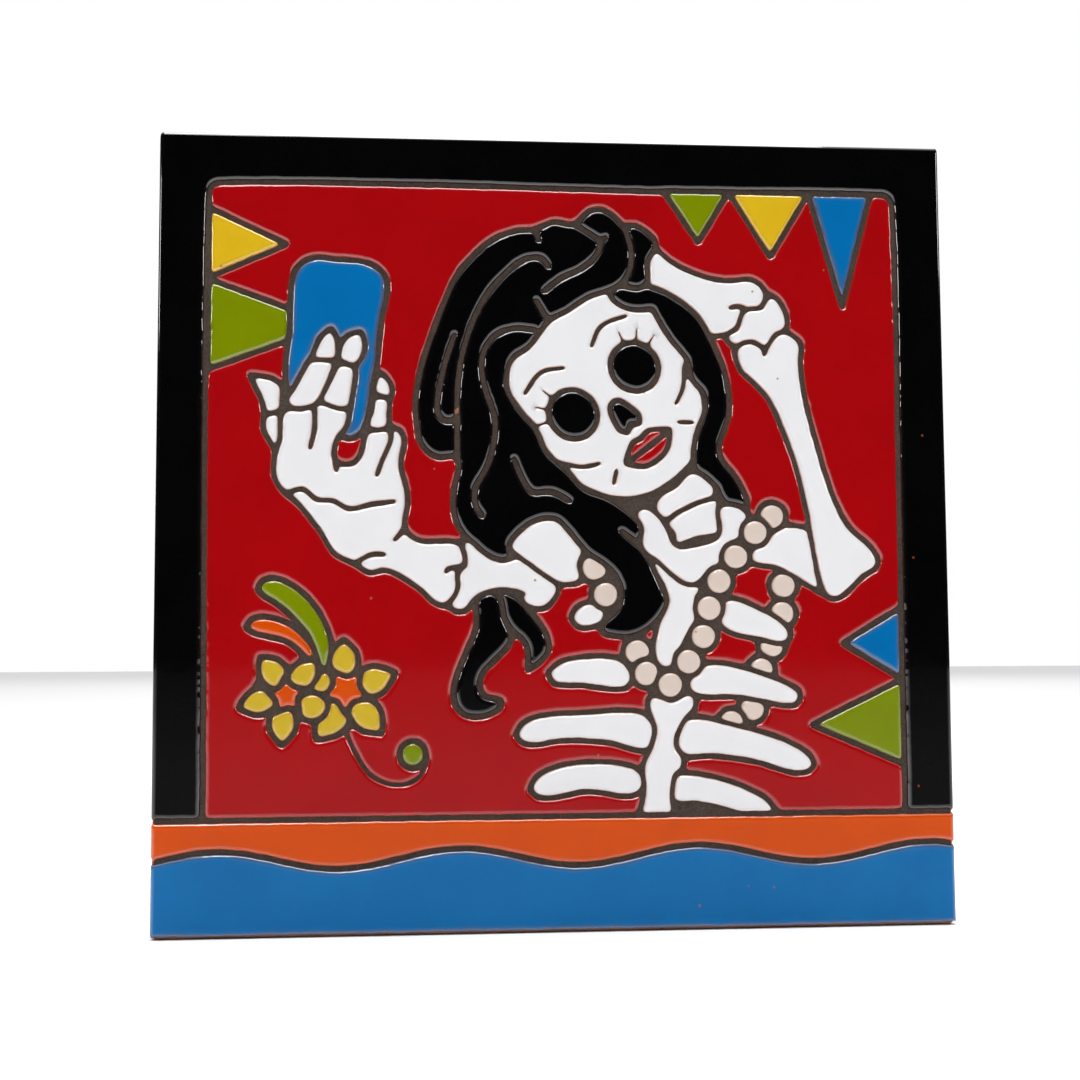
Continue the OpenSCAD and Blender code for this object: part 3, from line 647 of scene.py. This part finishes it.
def meniscus_shape() -> Shape:
    """The rule of a glaze pool: its height grows from the rim as a rounded shoulder, then ripples."""
    shape = Shape(
        "meniscus",
        {
            "Material": ("NodeSocketMaterial", None),
            "Height": ("NodeSocketFloat", 0.76 * MM),
            "Rim height": ("NodeSocketFloat", 0.12 * MM),
            "Shoulder": ("NodeSocketFloat", 0.75 * MM),
            "Ripple": ("NodeSocketFloat", 0.04 * MM),
            "Calm rim": ("NodeSocketFloat", 4 * MM),
            "Waves in a metre": ("NodeSocketFloat", 75.0),
        },
    )
    nodes = shape.nodes
    rim = shape.attribute("rim")
    place = nodes.node("GeometryNodeInputPosition").outputs["Position"]
    on_top = nodes.math("GREATER_THAN", rim, UNDERSIDE / 2)
    short = 1 - (rim / shape.input("Shoulder")).clamped()
    round_up = nodes.math("SQRT", 1 - short * short)
    swell = nodes.noise(place, shape.input("Waves in a metre"), 1) - 0.5
    far_in = (rim / shape.input("Calm rim")).clamped()
    rise = shape.input("Rim height") + (shape.input("Height") - shape.input("Rim height")) * round_up
    rise = rise + swell * 2 * shape.input("Ripple") * far_in
    offset = nodes.node("ShaderNodeCombineXYZ", None, {"Y": shape.attribute("drop") - rise * on_top})
    lifted = nodes.node(
        "GeometryNodeSetPosition",
        None,
        {"Geometry": shape.source.outputs["Geometry"], "Offset": offset.outputs["Vector"]},
    )
    shape.end(lifted.outputs["Geometry"])
    return shape


def grain_shape() -> Shape:
    """Grains scattered at random over a surface, half sunk in it."""
    shape = Shape(
        "grains",
        {
            "Material": ("NodeSocketMaterial", None),
            "Grains in a square metre": ("NodeSocketFloat", 1.0e6),
            "Smallest": ("NodeSocketFloat", 0.03 * MM),
            "Largest": ("NodeSocketFloat", 0.09 * MM),
            "Seed": ("NodeSocketInt", 7),
        },
    )
    nodes = shape.nodes
    spread = nodes.node(
        "GeometryNodeDistributePointsOnFaces",
        {"distribute_method": "RANDOM"},
        {
            "Mesh": shape.source.outputs["Geometry"],
            "Density": shape.input("Grains in a square metre"),
            "Seed": shape.input("Seed"),
        },
    )
    grain = nodes.node("GeometryNodeMeshIcoSphere", None, {"Radius": 1.0, "Subdivisions": 1})
    size = nodes.node(
        "FunctionNodeRandomValue",
        {"data_type": "FLOAT"},
        {2: shape.input("Smallest"), 3: shape.input("Largest"), "Seed": shape.input("Seed")},
    )
    turn = nodes.node(
        "FunctionNodeRandomValue",
        {"data_type": "FLOAT_VECTOR"},
        {0: (0.0, 0.0, 0.0), 1: (math.tau, math.tau, math.tau), "Seed": shape.input("Seed")},
    )
    spin = nodes.node("FunctionNodeEulerToRotation", None, {"Euler": turn.outputs["Value"]})
    placed = nodes.node(
        "GeometryNodeInstanceOnPoints",
        None,
        {
            "Points": spread.outputs["Points"],
            "Instance": grain.outputs["Mesh"],
            "Rotation": spin.outputs["Rotation"],
            "Scale": size.outputs[1],
        },
    )
    shape.end(placed.outputs["Instances"])
    return shape


# ---- Parts of the tile -----------------------------------------------------------------------


@dataclass
class Tile:
    """Sizes that all the parts of the tile share, taken from the frame."""

    arris: float = 0.8 * MM
    skin: float = 0.12 * MM
    low: np.ndarray = field(init=False)
    high: np.ndarray = field(init=False)
    face_y: float = field(init=False)

    def __post_init__(self) -> None:
        """Reads the box of the clay body; its front is the face that carries the glaze."""
        self.low, self.high = (np.array(corner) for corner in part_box("tile_body"))
        self.face_y = float(self.low[1])

    def edge_distance(self, places_mm: np.ndarray) -> np.ndarray:
        """Distance in millimetres from places on the face to the tile's nearest side or its top."""
        left, right = self.low[0] / MM, self.high[0] / MM
        top = self.high[2] / MM
        sides = np.minimum(places_mm[:, 0] - left, right - places_mm[:, 0])
        return np.maximum(np.minimum(sides, top - places_mm[:, 1]), 0.0)

    def drop(self, places_mm: np.ndarray) -> np.ndarray:
        """How far the rounded arris falls back from the face at each place, in metres."""
        share = np.clip(self.edge_distance(places_mm) * MM / self.arris, 0.0, 1.0)
        return self.arris * (1 - np.sqrt(np.clip(1 - (1 - share) ** 2, 0.0, 1.0)))


@dataclass
class GlazePool:
    """One node of the picture as pools of glass with rounded rims."""

    node: str
    slot: str
    material: bpy.types.Material
    tile: Tile
    shape: Shape
    seed: int
    step_mm: float = 0.36
    rounds: int = 4
    wobble_mm: float = 0.09
    spread_mm: float = 0.19
    rings: tuple = (
        (0.06, 1), (0.14, 1), (0.26, 1), (0.4, 1), (0.56, 1), (0.74, 1), (1.0, 1), (1.4, 2), (2.1, 3)
    )
    grid_mm: float = 1.8
    edge_reach_mm: float = 0.8
    edge_gap_mm: float = 0.03

    def waver(self, places: np.ndarray) -> np.ndarray:
        """The wobble of a hand-laid rim at places along it: long waves and half as high short ones."""
        long_waves = [noise.noise(Vector((x * 0.45, z * 0.45, self.seed * 3.7))) for x, z in places]
        short_waves = [noise.noise(Vector((x * 1.3, z * 1.3, self.seed * 5.1))) for x, z in places]
        return np.array(long_waves) + 0.5 * np.array(short_waves)

    def outline(self) -> Outline:
        """The node's outline with a hand-laid wobble, drawn out over the tile's arris at the edge."""
        calm = Outline.of_node(self.node, self.step_mm, self.rounds)
        shift = -calm.inward * (self.spread_mm + self.wobble_mm * self.waver(calm.points))[:, None]
        to_edge = self.tile.edge_distance(calm.points)
        near = to_edge < self.edge_reach_mm
        shift[near] = -calm.inward[near] * (to_edge[near] - self.edge_gap_mm)[:, None]
        return calm.moved(shift)

    def build(self) -> bpy.types.Object:
        """Meshes the pool as a closed shell, raises its glass and dresses it.

        Each point stores "edge", its distance from the whole outline, "rim", its distance from the outline
        where a line holds the glass back, and "drop", how far the tile's arris falls away under it.

        Returns:
            The pool.
        """
        rim = self.outline()
        count = len(rim.points)
        top, top_faces = rim.filled(rim.inner_points(self.rings, self.grid_mm))
        under, under_faces = rim.filled(np.empty((0, 2)))
        places = np.concatenate([top, under])
        beneath = np.full(len(under), UNDERSIDE)
        edge = np.concatenate([np.maximum(rim.depth(top), 0.0) * MM, beneath])
        edge[:count] = 0.0
        lined = rim.points[self.tile.edge_distance(rim.points) > self.edge_reach_mm / 4]
        inset = np.concatenate([distances(top, lined)[1] * MM, beneath])
        faces = [tuple(f) for f in top_faces] + [tuple(len(top) + i for i in f[::-1]) for f in under_faces]
        start = 0
        for loop in rim.loops:
            size = len(loop)
            for k in range(size):
                here, onward = start + k, start + (k + 1) % size
                faces.append((onward, here, len(top) + here, len(top) + onward))
            start += size
        solid = np.stack(
            [places[:, 0] * MM, np.full(len(places), self.tile.face_y), places[:, 1] * MM], axis=1
        )
        made = new_mesh(f"{self.node}_pool", solid, faces)
        store(made, "rim", inset)
        store(made, "edge", edge)
        store(made, "drop", self.tile.drop(places))
        self.shape.applied(made, {"Material": self.material})
        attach(made, "root")
        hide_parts(self.node)
        LOG.info("%s: %d faces", made.name, len(made.data.polygons))
        return made


@dataclass
class ClayBody:
    """The fired clay body: rounded arrises, and key hollows in its back."""

    tile: Tile
    key_depth: float = 0.8 * MM
    key_rim_mm: float = 8.0
    key_rib_mm: float = 7.0
    key_count: int = 4
    corner_mm: float = 1.2
    draft_mm: float = 0.9
    side_pieces: int = 60
    back_arris: float = 0.5 * MM
    arris_steps: int = 6
    corner_steps: int = 6
    side_levels: tuple = (0.3, 0.45, 0.6, 0.75)
    draft_shares: tuple = (0.0, 0.25, 0.5, 0.75, 1.0)
    floor_lines: int = 8
    floor_inset_mm: float = 3.0
    front_grid_mm: float = 6.0
    cap_clearance_mm: float = 0.8
    weld: float = 0.005 * MM
    side_mm: float = field(init=False)
    pitch_mm: float = field(init=False)
    width_mm: float = field(init=False)

    def __post_init__(self) -> None:
        """Works out the side of the tile and the pitch and width of its hollows, in millimetres."""
        self.side_mm = float(self.tile.high[0] - self.tile.low[0]) / MM
        self.pitch_mm = (self.side_mm - 2 * self.key_rim_mm + self.key_rib_mm) / self.key_count
        self.width_mm = self.pitch_mm - self.key_rib_mm

    def section(self, inset: float) -> np.ndarray:
        """Outline of the square slab, drawn in by an inset, with round corners, in millimetres."""
        gap = (inset + self.tile.skin) / MM
        left, right = self.tile.low[0] / MM + gap, self.tile.high[0] / MM - gap
        foot, top = self.tile.low[2] / MM + inset / MM, self.tile.high[2] / MM - gap
        radius = self.corner_mm
        centres = [(right - radius, foot + radius), (right - radius, top - radius),
                   (left + radius, top - radius), (left + radius, foot + radius)]
        corners = []
        for quarter, (x, z) in enumerate(centres):
            for k in range(self.corner_steps + 1):
                angle = math.radians(90 * (quarter - 1) + k * 90 / self.corner_steps)
                corners.append((x + radius * math.cos(angle), z + radius * math.sin(angle)))
        places = []
        for start, end in zip(corners, corners[1:] + corners[:1]):
            pieces = self.side_pieces if math.dist(start, end) > 4 * radius else 1
            places += [tuple(np.array(start) + (np.array(end) - start) * k / pieces) for k in range(pieces)]
        return np.array(places)

    def hollow(self, places_mm: np.ndarray) -> np.ndarray:
        """Depth of the key hollows at places on the back, in metres."""
        share = np.ones(len(places_mm))
        for axis, start in ((0, self.tile.low[0] / MM), (1, self.tile.low[2] / MM)):
            along = places_mm[:, axis] - start - self.key_rim_mm
            cell = np.clip(np.floor(along / self.pitch_mm), 0, self.key_count - 1)
            inside = along - cell * self.pitch_mm
            edge = np.clip(np.minimum(inside, self.width_mm - inside) / self.draft_mm, 0.0, 1.0)
            share *= edge * edge * (3 - 2 * edge)
        return share * self.key_depth

    def back_points(self) -> np.ndarray:
        """Places on the back where the hollows need a vertex."""
        inset = self.floor_inset_mm
        lines = [inset, self.side_mm - inset]
        for cell in range(self.key_count):
            start = self.key_rim_mm + cell * self.pitch_mm
            end = start + self.width_mm
            for share in self.draft_shares:
                lines += [start + share * self.draft_mm, end - share * self.draft_mm]
            lines += list(np.linspace(start + inset, end - inset, self.floor_lines))
        grid = np.array(sorted(lines))
        left, foot = self.tile.low[0] / MM, self.tile.low[2] / MM
        return np.array([(left + x, foot + z) for x in grid for z in grid])

    def levels(self) -> list[tuple[float, float]]:
        """Pairs of an inset and a depth behind the face, from the front to the back."""
        thick = float(self.tile.high[1] - self.tile.low[1])
        front, back = [], []
        for k in range(self.arris_steps + 1):
            angle = math.radians(90 * k / self.arris_steps)
            from_side, from_face = 1 - math.sin(angle), 1 - math.cos(angle)
            front.append((self.tile.arris * from_side, self.tile.arris * from_face))
            back.append((self.back_arris * from_face, thick - self.back_arris * from_side))
        middle = [(0.0, thick * share) for share in self.side_levels]
        return front + middle + back

    def build(self, clay: bpy.types.Material) -> bpy.types.Object:
        """Meshes the body from its sides and its two caps, and dresses it."""
        rows = [(self.section(inset), depth) for inset, depth in self.levels()]
        count = len(rows[0][0])
        parts, faces = [], []
        for section, depth in rows:
            parts.append(np.stack(
                [section[:, 0] * MM, np.full(count, self.tile.face_y + depth), section[:, 1] * MM], axis=1
            ))
        for level in range(len(rows) - 1):
            for k in range(count):
                a, b = level * count + k, level * count + (k + 1) % count
                faces.append((a, a + count, b + count, b))
        for section, depth, front in ((rows[0][0], 0.0, True), (rows[-1][0], rows[-1][1], False)):
            cap = Outline([section])
            grid = cap.inner_points((), self.front_grid_mm) if front else self.back_points()
            places, triangles = cap.filled(grid[cap.depth(grid) > self.cap_clearance_mm])
            start = sum(len(part) for part in parts)
            back = self.hollow(places) if not front else np.zeros(len(places))
            parts.append(np.stack(
                [places[:, 0] * MM, self.tile.face_y + depth - back, places[:, 1] * MM], axis=1
            ))
            faces += [tuple(start + i for i in (t if front else t[::-1])) for t in triangles]
        made = new_mesh("clay_body", np.concatenate(parts), faces)
        self._weld(made)
        made.data.materials.append(clay)
        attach(made, "root")
        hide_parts("tile_body")
        LOG.info("%s: %d faces", made.name, len(made.data.polygons))
        return made

    def _weld(self, made: bpy.types.Object) -> None:
        """Merges the caps' rims with the sides and turns all faces outwards."""
        shell = bmesh.new()
        shell.from_mesh(made.data)
        bmesh.ops.remove_doubles(shell, verts=shell.verts, dist=self.weld)
        bmesh.ops.recalc_face_normals(shell, faces=shell.faces)
        shell.to_mesh(made.data)
        shell.free()


@dataclass
class DryLine:
    """The resist line of the drawing: the frame's own node, with a powdery finish and grains."""

    shape: Shape
    per_square_metre: float = 9.0e5

    def dress(self, powder: bpy.types.Material) -> bpy.types.Object:
        """Dresses the frame's node and scatters grains along the line."""
        line = FRAME["nodes"]["dry_line"]
        line.data.materials.clear()
        line.data.materials.append(powder)
        made = bpy.data.objects.new("line_grains", line.data.copy())
        bpy.context.scene.collection.objects.link(made)
        self.shape.applied(
            made, {"Material": powder, "Grains in a square metre": self.per_square_metre, "Seed": 11}
        )
        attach(made, "root")
        LOG.info("%s: %d faces", made.name, len(made.data.polygons))
        return made


@dataclass
class BareSpots:
    """Small places where the glaze drew back or chipped, so that clay shows on the face."""

    tile: Tile
    spots_mm: tuple = (
        (-19.5, 98.6, 0.75, 1.0),
        (20.4, 28.2, 0.4, 0.5),
        (12.2, 61.0, 0.45, 2.2),
        (33.0, 127.4, 0.35, 0.2),
        (-75.2, 112.0, 0.5, 1.4),
    )
    corners: int = 18
    height_mm: float = 0.2
    squash: float = 0.6
    raggedness: float = 0.45
    levels: tuple = ((1.0, 0.3), (0.8, 0.05), (0.0, 0.0))

    def build(self, clay: bpy.types.Material) -> bpy.types.Object:
        """Builds a low uneven dome at each spot.

        A spot is its place, radius and turn. A level is a share of the radius and how far it lies behind
        the top of the dome, in millimetres.

        Args:
            clay: the material of the clay.

        Returns:
            All the spots as one mesh.
        """
        places, faces = [], []
        for x, z, radius, turn in self.spots_mm:
            start = len(places)
            drop = float(self.tile.drop(np.array([[x, z]]))[0])
            front = self.tile.face_y + drop - self.height_mm * MM
            for share, back in self.levels:
                for k in range(self.corners if share else 1):
                    angle = math.tau * k / self.corners
                    ragged = noise.noise(Vector((math.cos(angle) + x, math.sin(angle), z)))
                    reach = radius * share * (1 + self.raggedness * ragged)
                    wide, tall = reach * math.cos(angle), self.squash * reach * math.sin(angle)
                    places.append((
                        (x + wide * math.cos(turn) - tall * math.sin(turn)) * MM,
                        front + back * MM,
                        (z + wide * math.sin(turn) + tall * math.cos(turn)) * MM,
                    ))
            for k in range(self.corners):
                onward = (k + 1) % self.corners
                outer, inner = start, start + self.corners
                faces.append((outer + k, outer + onward, inner + onward, inner + k))
                faces.append((inner + k, inner + onward, inner + self.corners))
            faces.append(tuple(start + k for k in reversed(range(self.corners))))
        made = new_mesh("bare_spots", np.array(places), faces)
        made.data.materials.append(clay)
        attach(made, "root")
        LOG.info("%s: %d faces", made.name, len(made.data.polygons))
        return made


# ---- Camera, floor and light -----------------------------------------------------------------


@dataclass(frozen=True)
class SoftLight:
    """One square soft box that faces a point of the tile."""

    name: str
    place: tuple[float, float, float]
    size: float
    watts: float

    def add(self, target: Vector) -> None:
        """Adds the light to the scene, turned to the target."""
        lamp = bpy.data.lights.new(self.name, "AREA")
        lamp.shape = "SQUARE"
        lamp.size = self.size
        lamp.energy = self.watts
        made = bpy.data.objects.new(self.name, lamp)
        made.location = self.place
        made.rotation_euler = (target - Vector(self.place)).to_track_quat("-Z", "Y").to_euler()
        bpy.context.scene.collection.objects.link(made)


@dataclass
class Studio:
    """The camera, the floor and the light round the tile."""

    tile: Tile
    lens_mm: float = 50.0
    sensor_mm: float = 36.0
    eye_left: float = 0.0261
    eye_front: float = 0.2851
    eye_height: float = 0.0528
    look: tuple[float, float, float] = (0.07844, 0.99421, 0.07339)
    roll_deg: float = -0.3
    floor_size: float = 8.0
    sky_from: float = 0.6
    sky_growth: float = 2.5
    sky_faint: float = 0.03
    sky_strength: float = 2.5

    def camera(self) -> None:
        """Adds the camera in front of the tile, a little low and to the left."""
        data = bpy.data.cameras.new("camera")
        data.lens = self.lens_mm
        data.sensor_width = self.sensor_mm
        data.clip_start = 0.01
        made = bpy.data.objects.new("camera", data)
        aim = Vector(self.look).to_track_quat("-Z", "Y").to_matrix().to_4x4()
        turn = Matrix.Rotation(math.radians(self.roll_deg), 4, "Z")
        place = Matrix.Translation((-self.eye_left, self.tile.face_y - self.eye_front, self.eye_height))
        made.matrix_world = place @ aim @ turn
        bpy.context.scene.collection.objects.link(made)
        bpy.context.scene.camera = made

    def floor(self) -> None:
        """Adds the plain pale floor at the foot of the tile."""
        half = self.floor_size / 2
        height = float(self.tile.low[2])
        corners = [(-half, -half, height), (half, -half, height), (half, half, height), (-half, half, height)]
        made = new_mesh("floor", np.array(corners), [(0, 1, 2, 3)])
        made.data.materials.append(FloorFinish().material())

    def lights(self) -> None:
        """Adds soft boxes above and beside the tile, clear of what its flat glass mirrors."""
        target = Vector((0.0, self.tile.face_y, float(self.tile.high[2]) / 2))
        for light in (
            SoftLight("key", (-0.2, -0.5, 0.8), 0.15, 1.1),
            SoftLight("left_fill", (-0.9, -0.25, 0.35), 0.12, 0.9),
            SoftLight("right_fill", (0.9, -0.3, 0.4), 0.12, 0.9),
            SoftLight("overhead", (0.0, -0.02, 0.9), 0.5, 8.6),
            SoftLight("behind", (0.3, 1.9, 1.6), 1.5, 14.0),
        ):
            light.add(target)

    def sky(self) -> None:
        """Adds a pale surround that the camera sees as white, with its light from above."""
        world = bpy.data.worlds.new("surround")
        world.use_nodes = True
        bpy.context.scene.world = world
        nodes = Nodes(world.node_tree)
        direction = nodes.node("ShaderNodeTexCoord").outputs["Generated"]
        height = nodes.node("ShaderNodeSeparateXYZ", None, {"Vector": direction})
        above = ((nodes.value(height, "Z") - self.sky_from) * self.sky_growth).clamped()
        strength = self.sky_faint + above * self.sky_strength
        light = nodes.node("ShaderNodeBackground", None, {"Color": (1, 1, 1, 1), "Strength": strength})
        seen = nodes.node("ShaderNodeBackground", None, {"Color": (1, 1, 1, 1), "Strength": 1.0})
        ray = nodes.node("ShaderNodeLightPath")
        both = nodes.node(
            "ShaderNodeMixShader",
            None,
            {0: ray.outputs["Is Camera Ray"], 1: light.outputs["Background"], 2: seen.outputs["Background"]},
        )
        nodes.node("ShaderNodeOutputWorld", None, {"Surface": both.outputs["Shader"]})

    def build(self) -> None:
        """Adds the camera, the floor, the lights and the surround."""
        self.camera()
        self.floor()
        self.lights()
        self.sky()
        bpy.context.scene.view_settings.view_transform = "Standard"


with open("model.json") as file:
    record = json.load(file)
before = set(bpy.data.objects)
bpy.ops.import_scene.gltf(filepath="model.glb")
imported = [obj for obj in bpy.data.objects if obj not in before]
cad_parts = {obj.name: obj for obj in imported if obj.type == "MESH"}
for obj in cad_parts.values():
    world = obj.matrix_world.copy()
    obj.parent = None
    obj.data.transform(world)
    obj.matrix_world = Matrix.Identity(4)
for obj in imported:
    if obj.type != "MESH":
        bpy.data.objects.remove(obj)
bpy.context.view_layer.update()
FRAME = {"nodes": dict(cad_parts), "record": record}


def main() -> None:
    """Builds the tile and its surroundings."""
    logging.basicConfig(level=logging.INFO, format="%(name)s: %(message)s")
    tile = Tile()
    Studio(tile).build()
    grains = grain_shape()
    clay = ClayFinish().material()
    ClayBody(tile).build(clay)
    DryLine(grains).dress(LineFinish().material())
    BareSpots(tile).build(clay)
    glass = {glaze.value.name: glaze.value.material() for glaze in Glazes}
    pool = meniscus_shape()
    slots = {part["node"]: part["material_slot"] for part in FRAME["record"]["subparts"]}
    for seed, (node, slot) in enumerate(slots.items()):
        if slot in glass:
            GlazePool(node, slot, glass[slot], tile, pool, seed).build()


if __name__ == "__main__":
    main()
